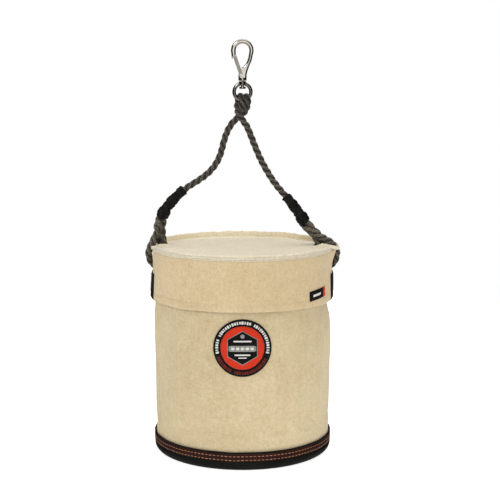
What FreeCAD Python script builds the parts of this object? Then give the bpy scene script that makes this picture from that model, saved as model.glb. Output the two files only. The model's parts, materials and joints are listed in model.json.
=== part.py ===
import FreeCAD, Part
import math
import os

# Canvas hoist bucket with a leather bottom, a closing canvas top, a rope handle
# and a swivel snap hook. Millimetres, +Z up, front towards -Y, origin at the
# middle of the underside.

V = FreeCAD.Vector
ORIGIN = V(0, 0, 0)
UP = V(0, 0, 1)
ALONG_X = V(1, 0, 0)
ALONG_Y = V(0, 1, 0)

# ---- driving dimensions: the canvas bucket ----
WALL_R = 159.0
CANVAS = 2.4
RIM_Z = 368.0
CORNER_R = 12.5
SKIN_GAP = 0.3
HEM_T = 1.6
HEM_DEPTH = 44.0
HOOP_T = 2.6
HOOP_DEPTH = 12.0
SIDE_SEAM_DEG = 180 + 16
SIDE_SEAM_HALF_DEG = 2.5
BOARD_T = 3.0

# ---- leather bottom ----
LEATHER = 3.2
BAND_TOP_Z = 33.0
FOOT_R = WALL_R + SKIN_GAP + LEATHER - CORNER_R

# ---- lid: flat top, hanging skirt and raised edge seam ----
SKIRT_IN_R = 161.2
SKIRT_T = 2.0
SKIRT_OUT_R = SKIRT_IN_R + SKIRT_T
SKIRT_BOTTOM_Z = 281.0
PANEL_Z = 368.6
PANEL_T = 2.8
LID_Z = PANEL_Z + PANEL_T
FOLD_Y = -22.0
FOLD_GAP = 0.3
ROPE_NOTCH_HALF = 10.5
ROPE_NOTCH_Z = 329.0
ROPE_NOTCH_IN_X = 128.0
RIDGE_T = 5.5
FRONT_RIDGE_H = 8.6
REAR_RIDGE_H = 11.0
FRONT_RIDGE_CLEAR_DEG = 11.5
REAR_RIDGE_CLEAR_DEG = 5.0
TAB_LOW_Z = 283.0
TAB_HIGH_Z = 329.0
TAB_FREE_Y = 15.0
TAG_LOW_Z = 293.5
TAG_HIGH_Z = 311.0
TAG_START_DEG = -45.0
TAG_SWEEP_DEG = 17.5

# ---- round patch on the front ----
PATCH_Z = 218.9
PATCH_DISC_R = 38.0
PATCH_BORDER_R = 50.3

# ---- rope handle ----
ROPE_D = 12.7
SPLICE_D = 22.0
TAPED_D = 17.2
TAPE_T = 0.9
KNUCKLE_CLEAR_R = 12.9
GROMMET_Z = 338.0
GROMMET_BORE_R = 8.2
GROMMET_BARREL_R = 9.1
GROMMET_FLANGE_R = 13.0

# ---- cutting blocks reach past everything ----
FAR = 400.0

# ---- swivel eye and snap hook ----
BAR_R = 3.3
EYE_R = 15.0
EYE_Z = 653.3
BAR_Z = EYE_Z - EYE_R
EYE_TOP_Z = 672.2
EYE_ROCK_DEG = 25
HOOK_BASE_Z = 672.7
BOW_Z = 726.6
BOW_OUT_R = 20.3
BOW_IN_R = 12.3
HOOK_HALF_T = 4.0
WEB_HALF_T = 3.2
GATE_PIVOT = V(-2.3, 0, 683.1)
GATE_LENGTH = 36.2
GATE_LEAN_DEG = 19.0
GATE_HALF_W = 3.3
GATE_SHEET = 0.8
GATE_OPEN_DEG = 25

LEFT_ROUTE = [
    V(-150.4, 0, 374), V(-150.4, 0, 392), V(-150.3, 0, 410), V(-147.4, 0, 428.6),
    V(-136.0, 0, 446), V(-122.6, 0, 462.5), V(-103.8, 0, 479.5), V(-81.6, 0, 492.9),
    V(-62.4, 0, 506.5), V(-46.8, 0, 524.6), V(-38.3, 0.5, 545.4), V(-34.0, 1.5, 564.3),
    V(-27.6, 3.5, 583.2), V(-18.4, 6, 598.4), V(-8.0, 7.2, 607.5), V(2.5, 6, 614.5),
    V(8.7, -0.5, 624), V(9.8, -9.7, 635),
]
RIGHT_ROUTE = [
    V(151, 0, 378), V(136, 0, 392), V(124.4, 0, 404.5), V(113.4, 0, 419),
    V(103.0, 0, 435.5), V(90.6, 0, 451.5), V(76.6, 0, 467.5), V(59.8, 0, 487.0),
    V(45.8, 0, 508.3), V(33.2, -0.5, 531), V(23.9, -1.5, 552.5), V(15.9, -3, 573),
    V(8.3, -5, 592), V(-0.9, -7.2, 604.5), V(-8.4, -6, 613.5), V(-11.4, 0.5, 624),
    V(-10.8, 9.7, 635),
]
LEFT_EYE = [
    V(-153.5, 0, 388), V(-165.5, 0, 380.5), V(-172.4, 0, 367), V(-172.6, 0, 352),
    V(-165.5, 0, 340), V(-152.0, 0, 337.2), V(-142.0, 0, 344.5), V(-140.2, 0, 361),
    V(-141.8, 0, 377), V(-147.5, 0, 388),
]
RIGHT_EYE = [
    V(143.5, 0, 388), V(161.5, 0, 380.5), V(172.0, 0, 368), V(172.4, 0, 352.5),
    V(165.5, 0, 340), V(152.0, 0, 337.2), V(141.6, 0, 344.5), V(137.2, 0, 360),
    V(135.6, 0, 376), V(134.5, 0, 388),
]
SIDES = {"left": (-1, LEFT_ROUTE, LEFT_EYE), "right": (1, RIGHT_ROUTE, RIGHT_EYE)}
SPLICE_END, TAPE_END = 3, 6


# ---- helpers ----
def face_of(edges):
    return Part.Face(Part.Wire(edges))


def polygon_face(points):
    return Part.Face(Part.makePolygon(points + [points[0]]))


def turned(face, start_deg, sweep_deg):
    """A face of the XZ plane revolved round Z from one compass angle to another."""
    face = face.copy()
    face.rotate(ORIGIN, UP, start_deg)
    return face.revolve(ORIGIN, UP, sweep_deg)


def shell(r_in, r_out, z0, z1, start_deg=0, sweep_deg=360):
    corners = [V(r_in, 0, z0), V(r_out, 0, z0), V(r_out, 0, z1), V(r_in, 0, z1)]
    return turned(polygon_face(corners), start_deg, sweep_deg)


def box(low, high):
    size = high - low
    return Part.makeBox(size.x, size.y, size.z, low)


def both_sides(low, high):
    """A box and its mirror image across the YZ plane."""
    mirrored = box(V(-high.x, low.y, low.z), V(-low.x, high.y, high.z))
    return box(low, high).fuse(mirrored)


def rounded_path(points):
    """Straight runs joined by tangent arcs, each arc as large as its two runs allow."""
    edges = []
    radii = []
    at = points[0]
    for before, corner, after in zip(points, points[1:], points[2:]):
        one = (before - corner).normalize()
        two = (after - corner).normalize()
        half_turn = (math.pi - one.getAngle(two)) / 2
        reach = 0.45 * min((before - corner).Length, (after - corner).Length)
        radii.append(reach / math.tan(half_turn))
        start = corner + one * reach
        end = corner + two * reach
        middle = (one + two).normalize()
        inset = radii[-1] / math.cos(half_turn) - radii[-1]
        edges.append(Part.LineSegment(at, start).toShape())
        edges.append(Part.Arc(start, corner + middle * inset, end).toShape())
        at = end
    edges.append(Part.LineSegment(at, points[-1]).toShape())
    return Part.Wire(edges), radii


def rope_tube(name, points, diameter):
    path, radii = rounded_path(points)
    start = Part.makeCircle(diameter / 2, points[0], points[1] - points[0])
    solid = path.makePipeShell([Part.Wire(start)], True, False)
    filled = solid.Volume / (math.pi * diameter**2 / 4 * path.Length)
    print(f"{name}: length {path.Length:.0f}, smallest arc {min(radii):.1f}, volume ratio {filled:.3f}")
    return solid


def stretch(route, first, last):
    """The route from the middle of one run to the middle of a later one."""
    start = (route[first] + route[first - 1]) * 0.5
    if last is None:
        return [start] + route[first:]
    return [start] + route[first:last] + [(route[last - 1] + route[last]) * 0.5]


# ---- bucket ----
def wall_profile(outer_r, inner_r, top_z):
    """Half section of a cylinder whose lower corner turns in to the floor."""
    corner = V(FOOT_R, 0, CORNER_R)
    outer = outer_r - FOOT_R
    inner = inner_r - FOOT_R
    slant = math.sqrt(0.5)
    p = [V(outer_r, 0, top_z), V(outer_r, 0, CORNER_R), V(FOOT_R, 0, CORNER_R - outer)]
    q = [V(FOOT_R, 0, CORNER_R - inner), V(inner_r, 0, CORNER_R), V(inner_r, 0, top_z)]
    outer_mid = corner + V(slant, 0, -slant) * outer
    inner_mid = corner + V(slant, 0, -slant) * inner
    return face_of([
        Part.LineSegment(p[0], p[1]).toShape(),
        Part.Arc(p[1], outer_mid, p[2]).toShape(),
        Part.LineSegment(p[2], q[0]).toShape(),
        Part.Arc(q[0], inner_mid, q[1]).toShape(),
        Part.LineSegment(q[1], q[2]).toShape(),
        Part.LineSegment(q[2], p[0]).toShape(),
    ])


def grommet_holes(radius):
    return Part.makeCylinder(radius, 2 * FAR, V(-FAR, 0, GROMMET_Z), ALONG_X)


def bucket_parts():
    inner_r = WALL_R - CANVAS
    wall = turned(wall_profile(WALL_R, inner_r, RIM_Z), 0, 360)
    hem_r = inner_r - 0.2
    hem = shell(hem_r - HEM_T, hem_r, RIM_Z - HEM_DEPTH, RIM_Z)
    hoop_r = hem_r - HEM_T - 0.2
    hoop_top_z = RIM_Z - 2
    hole = grommet_holes(GROMMET_BARREL_R + 0.3)
    floor_z = CORNER_R - (WALL_R - FOOT_R)
    return {
        "bucket_wall": wall.cut(hole),
        "rim_hem": hem.cut(hole),
        "rim_hoop": shell(hoop_r - HOOP_T, hoop_r, hoop_top_z - HOOP_DEPTH, hoop_top_z),
        "wall_side_seam": shell(WALL_R + 0.1, WALL_R + 1.0, BAND_TOP_Z + 1, RIM_Z,
                                SIDE_SEAM_DEG - SIDE_SEAM_HALF_DEG, 2 * SIDE_SEAM_HALF_DEG),
        "floor_panel": Part.makeCylinder(FOOT_R - 0.2, CANVAS, V(0, 0, floor_z)),
        "floor_board": Part.makeCylinder(FOOT_R, BOARD_T, V(0, 0, floor_z + CANVAS + 0.2)),
    }


def leather_parts():
    inner_r = WALL_R + SKIN_GAP
    band = turned(wall_profile(inner_r + LEATHER, inner_r, BAND_TOP_Z), 0, 360)
    return {
        "leather_band": band,
        "leather_sole": Part.makeCylinder(FOOT_R - 0.2, LEATHER - 0.2),
    }


def grommet_parts():
    """An eyelet through the wall on each side, with its washer inside."""
    parts = {}
    for side, (sign, _, _) in SIDES.items():
        outward = V(sign, 0, 0)
        barrel_start = V(sign * 152.6, 0, GROMMET_Z)
        flange_start = V(sign * 159.15, 0, GROMMET_Z)
        barrel = Part.makeCylinder(GROMMET_BARREL_R, 7.6, barrel_start, outward)
        flange = Part.makeCylinder(GROMMET_FLANGE_R, 1.1, flange_start, outward)
        washer = Part.makeCylinder(GROMMET_FLANGE_R, 1.2, barrel_start, outward)
        eyelet = barrel.fuse(flange).removeSplitter()
        parts[f"grommet_{side}"] = eyelet.cut(grommet_holes(GROMMET_BORE_R))
        parts[f"grommet_washer_{side}"] = washer.cut(grommet_holes(GROMMET_BARREL_R + 0.1))
    return parts


def patch_parts():
    """Round sewn patch on the front, a disc inside a border ring."""
    low_z = PATCH_Z - PATCH_BORDER_R - 5
    high_z = PATCH_Z + PATCH_BORDER_R + 5
    skin = shell(WALL_R + 0.2, WALL_R + 1.4, low_z, high_z)
    disc, inside_border, border = [
        Part.makeCylinder(radius, FAR, V(0, 0, PATCH_Z), V(0, -1, 0))
        for radius in (PATCH_DISC_R, PATCH_DISC_R + 0.1, PATCH_BORDER_R)
    ]
    return {
        "front_patch": skin.common(disc),
        "patch_border": skin.common(border).cut(inside_border),
    }


# ---- lid ----
def lid_panels():
    disc = Part.makeCylinder(SKIRT_OUT_R, PANEL_T, V(0, 0, PANEL_Z))
    notches = both_sides(V(ROPE_NOTCH_IN_X, -ROPE_NOTCH_HALF, 0), V(FAR, ROPE_NOTCH_HALF, FAR))
    front = box(V(-FAR, -FAR, 0), V(FAR, FOLD_Y - FOLD_GAP, FAR))
    rear = box(V(-FAR, FOLD_Y + FOLD_GAP, 0), V(FAR, FAR, FAR))
    return disc.common(front), disc.common(rear).cut(notches)


def lid_skirts():
    """Front and rear skirt, slit at each side and notched round the rope."""
    slit_half = 1.0
    tube = shell(SKIRT_IN_R, SKIRT_OUT_R, SKIRT_BOTTOM_Z, PANEL_Z - 0.3)
    notches = both_sides(V(ROPE_NOTCH_IN_X, -ROPE_NOTCH_HALF, ROPE_NOTCH_Z), V(FAR, ROPE_NOTCH_HALF, FAR))
    front = box(V(-FAR, -FAR, 0), V(FAR, -slit_half, FAR))
    rear = box(V(-FAR, slit_half, 0), V(FAR, FAR, FAR))
    return tube.common(front).cut(notches), tube.common(rear).cut(notches)


def lid_ridge(height, clear_of_fold_deg, front):
    start_deg = (180 if front else 0) + clear_of_fold_deg
    return shell(SKIRT_OUT_R - RIDGE_T, SKIRT_OUT_R, LID_Z + 0.2, LID_Z + height,
                 start_deg, 180 - 2 * clear_of_fold_deg)


def lid_corner(sign):
    """Pinched point of the lid's edge seam, just in front of the rope."""
    outline = [(150, LID_Z + 0.1), (163, LID_Z + 0.1), (172, LID_Z + 6.5), (150, LID_Z + 8)]
    face = polygon_face([V(sign * x, -20.5, z) for x, z in outline])
    return face.extrude(V(0, 8, 0))


def closure_tab(sign):
    """Hook strip sewn to the front skirt, lying across the side slit."""
    sewn = shell(SKIRT_OUT_R + 0.1, SKIRT_OUT_R + 2.0, TAB_LOW_Z, TAB_HIGH_Z, -16, 14.6)
    free = box(V(SKIRT_OUT_R + 1.0, -8, TAB_LOW_Z), V(SKIRT_OUT_R + 2.6, TAB_FREE_Y, TAB_HIGH_Z))
    tab = sewn.fuse(free).removeSplitter()
    return tab if sign > 0 else tab.mirror(ORIGIN, ALONG_X)


def loop_patch(sign):
    """Loop strip sewn to the rear skirt, under the closure tab's free end."""
    patch = shell(SKIRT_OUT_R + 0.1, SKIRT_OUT_R + 0.6, SKIRT_BOTTOM_Z, TAB_HIGH_Z - 2, 1.1, 4.2)
    return patch if sign > 0 else patch.mirror(ORIGIN, ALONG_X)


def side_tag():
    """Woven tag on the front skirt, right of the middle."""
    return shell(SKIRT_OUT_R + 0.1, SKIRT_OUT_R + 1.1, TAG_LOW_Z, TAG_HIGH_Z, TAG_START_DEG, TAG_SWEEP_DEG)


def lid_parts():
    front_panel, rear_panel = lid_panels()
    front_skirt, rear_skirt = lid_skirts()
    parts = {
        "lid_front_panel": front_panel,
        "lid_front_skirt": front_skirt,
        "lid_front_ridge": lid_ridge(FRONT_RIDGE_H, FRONT_RIDGE_CLEAR_DEG, True),
        "lid_rear_panel": rear_panel,
        "lid_rear_skirt": rear_skirt,
        "lid_rear_ridge": lid_ridge(REAR_RIDGE_H, REAR_RIDGE_CLEAR_DEG, False),
        "side_tag": side_tag(),
    }
    for side, (sign, _, _) in SIDES.items():
        parts[f"lid_corner_{side}"] = lid_corner(sign)
        parts[f"closure_tab_{side}"] = closure_tab(sign)
        parts[f"loop_patch_{side}"] = loop_patch(sign)
    return parts


# ---- rope ----
def rope_parts():
    parts = {}
    for side, (_, route, eye) in SIDES.items():
        pivot = route[1]
        socket = Part.makeSphere(KNUCKLE_CLEAR_R, pivot)
        knuckle = Part.makeSphere(SPLICE_D / 2, pivot)
        fat = rope_tube(f"splice_{side}", [pivot] + stretch(route, 2, SPLICE_END)[1:], SPLICE_D)
        taped = rope_tube(f"taped_{side}", stretch(route, SPLICE_END, TAPE_END), TAPED_D)
        leg = rope_tube(f"rope_leg_{side}", stretch(route, TAPE_END, None), ROPE_D)
        cover = rope_tube(f"tape_{side}", stretch(route, SPLICE_END, TAPE_END), TAPED_D + 2 * TAPE_T)
        parts[f"rope_eye_{side}"] = rope_tube(f"rope_eye_{side}", eye, ROPE_D).cut(socket)
        parts[f"splice_{side}"] = fat.fuse(knuckle).fuse(taped).removeSplitter()
        parts[f"tape_wrap_{side}"] = cover.cut(taped).cut(fat)
        parts[f"rope_leg_{side}"] = leg
    return parts


def rope_hitch():
    """Turns of rope round the lower bar of the swivel eye, which can rock in them."""
    turn_r = BAR_R + ROPE_D / 2
    offsets = (-10.3, 0, 10.3)
    turns = [Part.makeTorus(turn_r, ROPE_D / 2, V(x, 0, BAR_Z), ALONG_X) for x in offsets]
    knot = turns[0].fuse(turns[1:])
    room = Part.makeTorus(EYE_R, BAR_R + 1.3, V(0, 0, EYE_Z), ALONG_Y)
    for angle in (-EYE_ROCK_DEG, 0, EYE_ROCK_DEG):
        rocked = room.copy()
        rocked.rotate(V(0, 0, BAR_Z), ALONG_X, angle)
        knot = knot.cut(rocked)
    return max(knot.Solids, key=lambda solid: solid.Volume)


# ---- swivel eye and hook ----
def swivel_eye():
    ring = Part.makeTorus(EYE_R, BAR_R, V(0, 0, EYE_Z), ALONG_Y)
    boss = Part.makeCylinder(6.4, 7.2, V(0, 0, EYE_TOP_Z - 7.2))
    boss = boss.makeFillet(1.2, [boss.Edges[0], boss.Edges[2]])
    hole = Part.makeCylinder(3.1, 30, V(0, 0, 655))
    return ring.fuse(boss).cut(hole)


def swivel_rivet():
    """Stem from the hook's base down through the eye, with a domed head inside it."""
    head = Part.makeCylinder(5.9, 4.2, V(0, 0, 658.4))
    head = head.makeFillet(1.8, [head.Edges[2]])
    stem = Part.makeCylinder(2.8, HOOK_BASE_Z - 660, V(0, 0, 660))
    return head.fuse(stem).removeSplitter()


def about_gate(radius, x):
    """The point at the given x on a circle round the gate's pivot."""
    return V(x, 0, GATE_PIVOT.z + math.sqrt(radius**2 - (x - GATE_PIVOT.x) ** 2))


def hook_outline():
    """Front view of the hook: bow, nose with a lip, web and base."""
    gap_r = GATE_LENGTH + 0.5
    lip_tip = V(-18.9, 0, 711.6)
    lip_in = V(-17.6, 0, 712.6)
    step_out = about_gate(gap_r, -17.6)
    step_in = about_gate(gap_r, -11.9)
    bow_left = V(-20.0, 0, 721.5)
    bow_right = V(18.2, 0, 718.5)
    base_right = V(7.4, 0, 682)
    base_left = V(-7.4, 0, 682)
    mouth = V(-1.6, 0, 696.2)
    inner_right = V(12.0, 0, 724.0)
    inner_left = V(-12.0, 0, 725.5)
    right_edge = Part.BSplineCurve()
    right_edge.interpolate([bow_right, V(15.2, 0, 706), V(9.6, 0, 692), base_right])
    inner_edge = Part.BSplineCurve()
    inner_edge.interpolate([mouth, V(3.6, 0, 700.2), V(9.0, 0, 709.5), inner_right])
    return face_of([
        Part.LineSegment(lip_tip, bow_left).toShape(),
        Part.Arc(bow_left, V(-0.3, 0, BOW_Z + BOW_OUT_R), bow_right).toShape(),
        right_edge.toShape(),
        Part.LineSegment(base_right, V(7.4, 0, 674)).toShape(),
        Part.LineSegment(V(7.4, 0, 674), V(-7.4, 0, 674)).toShape(),
        Part.LineSegment(V(-7.4, 0, 674), base_left).toShape(),
        Part.LineSegment(base_left, V(-6.4, 0, 686)).toShape(),
        Part.LineSegment(V(-6.4, 0, 686), V(-2.6, 0, 690)).toShape(),
        Part.LineSegment(V(-2.6, 0, 690), mouth).toShape(),
        inner_edge.toShape(),
        Part.Arc(inner_right, V(0.2, 0, BOW_Z + BOW_IN_R), inner_left).toShape(),
        Part.LineSegment(inner_left, step_in).toShape(),
        Part.Arc(step_in, about_gate(gap_r, -14.7), step_out).toShape(),
        Part.LineSegment(step_out, lip_in).toShape(),
        Part.LineSegment(lip_in, lip_tip).toShape(),
    ])


def gate_strip(half_w, radius):
    """Front view of the gate, leaning left from its pivot, drawn upright and then turned."""
    p = GATE_PIVOT
    top = math.sqrt(radius**2 - half_w**2)
    left, right = V(-half_w, 0, 0), V(half_w, 0, 0)
    strip = face_of([
        Part.LineSegment(p + left, p + left + UP * top).toShape(),
        Part.Arc(p + left + UP * top, p + UP * radius, p + right + UP * top).toShape(),
        Part.LineSegment(p + right + UP * top, p + right).toShape(),
        Part.Arc(p + right, p - UP * half_w, p + left).toShape(),
    ])
    strip.rotate(p, ALONG_Y, -GATE_LEAN_DEG)
    return strip


def slab(face, y0, y1):
    face = face.copy()
    face.translate(V(0, y0, 0))
    return face.extrude(V(0, y1 - y0, 0))


def hook_body():
    solid = slab(hook_outline(), -HOOK_HALF_T, HOOK_HALF_T)
    rims = [edge for edge in solid.Edges if abs(abs(edge.CenterOfMass.y) - HOOK_HALF_T) < 0.01]
    solid = solid.makeFillet(3.2, [edge for edge in rims if edge.Length > 7.9])
    for angle in range(0, GATE_OPEN_DEG + 1, 5):
        swept = gate_strip(GATE_HALF_W + 0.4, GATE_LENGTH + 0.3)
        swept.rotate(GATE_PIVOT, ALONG_Y, angle)
        for y0, y1 in ((-6, -WEB_HALF_T), (WEB_HALF_T, 6)):
            solid = solid.cut(slab(swept, y0, y1))
    base = Part.makeCylinder(7.2, 6.5, V(0, 0, HOOK_BASE_Z))
    base = base.makeFillet(1.6, [base.Edges[0], base.Edges[2]])
    rivet_hole = Part.makeCylinder(1.6, 20, GATE_PIVOT - ALONG_Y * 10, ALONG_Y)
    return solid.fuse(base).removeSplitter().cut(rivet_hole)


def gate():
    """Channel of bent sheet, open on the inner side, closed at its tip."""
    outer = WEB_HALF_T + 0.4 + GATE_SHEET
    solid = slab(gate_strip(GATE_HALF_W, GATE_LENGTH), -outer, outer)
    inner = outer - GATE_SHEET
    inside = box(V(-GATE_HALF_W + 1.0, -inner, -10), V(10, inner, GATE_LENGTH - 1.2))
    heel = box(V(-10, -inner, -10), V(10, inner, 7.5))
    for cutter in (inside, heel):
        cutter.translate(GATE_PIVOT)
        cutter.rotate(GATE_PIVOT, ALONG_Y, -GATE_LEAN_DEG)
        solid = solid.cut(cutter)
    bore = Part.makeCylinder(1.8, 20, GATE_PIVOT - ALONG_Y * 10, ALONG_Y)
    return solid.cut(bore)


def gate_rivet():
    reach = WEB_HALF_T + 0.4 + GATE_SHEET
    pin = Part.makeCylinder(1.5, 2 * reach + 1.2, GATE_PIVOT - ALONG_Y * (reach + 0.6), ALONG_Y)
    for outward in (-1, 1):
        start = GATE_PIVOT + ALONG_Y * (outward * (reach + 0.2))
        pin = pin.fuse(Part.makeCylinder(2.6, 0.9, start, ALONG_Y * outward))
    return pin.removeSplitter()


def hook_parts():
    return {
        "rope_hitch": rope_hitch(),
        "swivel_eye": swivel_eye(),
        "swivel_rivet": swivel_rivet(),
        "hook_body": hook_body(),
        "gate": gate(),
        "gate_rivet": gate_rivet(),
    }


def main():
    os.makedirs("parts", exist_ok=True)
    groups = (bucket_parts, leather_parts, grommet_parts, patch_parts, lid_parts, rope_parts, hook_parts)
    for make in groups:
        for name, shape in make().items():
            shape.exportStep(f"parts/{name}.step")


main()
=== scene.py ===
import json
import random
from math import atan2, copysign, cos, exp, floor, hypot, pi, radians, sin, sqrt, tanh

import bmesh
import bpy
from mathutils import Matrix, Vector, noise

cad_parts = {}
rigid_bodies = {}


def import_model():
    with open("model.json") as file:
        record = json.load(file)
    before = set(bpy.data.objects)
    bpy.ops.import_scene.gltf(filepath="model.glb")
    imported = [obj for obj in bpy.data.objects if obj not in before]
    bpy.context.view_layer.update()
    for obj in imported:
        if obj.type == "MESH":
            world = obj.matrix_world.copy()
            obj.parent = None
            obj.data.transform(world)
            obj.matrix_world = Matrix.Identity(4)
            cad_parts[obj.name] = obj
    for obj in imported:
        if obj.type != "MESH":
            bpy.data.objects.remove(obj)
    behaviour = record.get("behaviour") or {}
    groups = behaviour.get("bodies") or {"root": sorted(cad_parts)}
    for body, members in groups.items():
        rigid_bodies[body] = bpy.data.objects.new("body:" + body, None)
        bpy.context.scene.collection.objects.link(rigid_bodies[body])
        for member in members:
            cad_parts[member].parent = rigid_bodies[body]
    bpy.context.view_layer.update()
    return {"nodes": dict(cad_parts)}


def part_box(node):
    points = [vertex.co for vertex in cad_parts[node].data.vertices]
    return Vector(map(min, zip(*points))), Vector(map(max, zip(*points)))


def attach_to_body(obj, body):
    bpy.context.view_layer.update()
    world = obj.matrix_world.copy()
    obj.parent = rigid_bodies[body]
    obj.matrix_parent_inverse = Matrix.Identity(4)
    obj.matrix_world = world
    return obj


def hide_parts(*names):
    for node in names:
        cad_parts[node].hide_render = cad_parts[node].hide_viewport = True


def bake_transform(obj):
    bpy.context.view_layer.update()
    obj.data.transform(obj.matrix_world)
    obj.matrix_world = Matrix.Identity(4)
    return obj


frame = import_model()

# Canvas hoist bucket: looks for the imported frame. Metres, +Z up, front towards -Y.

RNG = random.Random(11)
TAU = 2 * pi
FRONT = -pi / 2

# ---- sizes from the frame ----
WALL_R, _, RIM_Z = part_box("bucket_wall")[1]
BAND_R, _, BAND_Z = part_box("leather_band")[1]
SKIRT_LOW, SKIRT_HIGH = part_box("lid_rear_skirt")
SKIRT_R, SKIRT_Z = SKIRT_HIGH[1], SKIRT_LOW[2]
LID_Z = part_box("lid_rear_panel")[1][2]
FRONT_SEAM_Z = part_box("lid_front_ridge")[1][2]
REAR_SEAM_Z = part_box("lid_rear_ridge")[1][2]
PATCH_LOW, PATCH_HIGH = (corner[2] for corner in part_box("front_patch"))
PATCH_Z, PATCH_R = (PATCH_LOW + PATCH_HIGH) / 2, (PATCH_HIGH - PATCH_LOW) / 2
BORDER_R = (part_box("patch_border")[1][2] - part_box("patch_border")[0][2]) / 2

# ---- sizes chosen here ----
WALL_T = 0.0024
LID_T = 0.0018
CORNER_R = 0.0125        # where the wall and the leather turn under
STRAND_R, HELIX_R = 0.00306, 0.00322    # a rope strand's thickness, and how far out it lies
ROPE_LAY = 0.0395        # the rope's length for one turn of a strand
ROPE_STEP = 0.0016
SLIT = 0.0012            # half the gap between the two halves of the skirt
NOTCH_HALF = 0.01        # half the notch for the rope, and the height of its foot
NOTCH_Z = 0.3285
CANVAS_THREADS = 620.0   # threads in a metre of weave
STITCH_PITCH = 0.0042
STITCH_R = 0.0004
STITCH_FILL = 0.68       # the share of the pitch that shows as thread
SETTLING_FRAMES = 24
FLOOR_R, FLOOR_SIDES = 1.7, 96
CAMERA_PLACE = (0, -2.2, 0.6735)
CAMERA_PITCH = radians(7.94)


# ================= materials =================
class Nodes:
    """A short way to write the nodes of a material or a world."""

    def __init__(self, name, kind="materials"):
        self.owner = getattr(bpy.data, kind).new(name)
        self.owner.use_nodes = True
        self.tree = self.owner.node_tree

    def add(self, kind, inputs=None, **settings):
        node = self.tree.nodes.new("ShaderNode" + kind)
        for key, value in settings.items():
            setattr(node, key, value)
        for key, value in (inputs or {}).items():
            self.feed(node.inputs[key], value)
        return node

    def feed(self, socket, value):
        if isinstance(value, bpy.types.Node):
            value = value.outputs[0]
        if isinstance(value, bpy.types.NodeSocket):
            self.tree.links.new(value, socket)
        else:
            socket.default_value = value

    def place(self, *scale):
        """The object's coordinates, stretched by a scale."""
        where = self.add("TexCoord").outputs["Object"]
        return self.add("Mapping", {"Vector": where, "Scale": scale or (1, 1, 1)})

    def uv(self):
        """The UVs, in metres, and their two parts."""
        uv = self.add("TexCoord").outputs["UV"]
        parts = self.add("SeparateXYZ", {0: uv}).outputs
        return uv, parts[0], parts[1]

    def noise(self, at, scale, detail=3.0, roughness=0.55):
        inputs = {"Vector": at, "Scale": scale, "Detail": detail, "Roughness": roughness}
        return self.add("TexNoise", inputs).outputs[0]

    def math(self, operation, a, b=0.0, clamp=False):
        return self.add("Math", {0: a, 1: b}, operation=operation, use_clamp=clamp).outputs[0]

    def mul(self, a, b):
        return self.math("MULTIPLY", a, b)

    def plus(self, a, b):
        return self.math("ADD", a, b)

    def wave(self, phase):
        return self.math("ABSOLUTE", self.math("SINE", phase))

    def span(self, value, low, high, least=0.0, most=1.0):
        """least where the value is at low, most where it is at high."""
        inputs = {"Value": value, "From Min": low, "From Max": high, "To Min": least, "To Max": most}
        return self.add("MapRange", inputs).outputs[0]

    def ramp(self, value, *stops):
        node = self.add("ValToRGB", {"Fac": value})
        elements = node.color_ramp.elements
        while len(elements) < len(stops):
            elements.new(0.5)
        for element, (position, colour) in zip(elements, stops):
            element.position = position
            element.color = (*colour, 1)
        return node.outputs[0]

    def mask(self, value, low, high, most=1.0, least=0.0):
        """A grey that goes from least to most."""
        return self.ramp(value, (low, (least,) * 3), (high, (most,) * 3))

    def mix(self, factor, a, b, blend="MIX"):
        node = self.add("Mix", data_type="RGBA", blend_type=blend)
        self.feed(node.inputs[0], factor)
        self.feed(node.inputs[6], (*a, 1) if isinstance(a, tuple) else a)
        self.feed(node.inputs[7], (*b, 1) if isinstance(b, tuple) else b)
        return node.outputs[2]

    def groove_shade(self, height, share, colour, shade_colour):
        """The colour, mixed towards a given shade colour where the height is low: painted shade in the hollows."""
        return self.mix(self.mul(self.math("SUBTRACT", 1.0, height), share), colour, shade_colour)

    def bump(self, height, distance, strength=1.0, normal=None):
        node = self.add("Bump", {"Height": height, "Distance": distance, "Strength": strength})
        if normal:
            self.feed(node.inputs["Normal"], normal)
        return node.outputs[0]

    def finish(self, colour, roughness, **inputs):
        shader = self.tree.nodes["Principled BSDF"]
        for key, value in {"Base_Color": colour, "Roughness": roughness, **inputs}.items():
            self.feed(shader.inputs[key.replace("_", " ")], value)
        return self.owner


def woven(m):
    """Height of a plain weave: threads that pass over and under each other."""
    uv, *parts = m.uv()
    sway = m.mul(m.noise(uv, 90, 2), 1.6)
    u, v = (m.plus(m.mul(part, pi * CANVAS_THREADS), sway) for part in parts)
    over = m.math("GREATER_THAN", m.mul(m.math("COSINE", u), m.math("COSINE", v)), 0)
    return m.add("Mix", {0: over, 2: m.wave(u), 3: m.wave(v)}).outputs[0]


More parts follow.
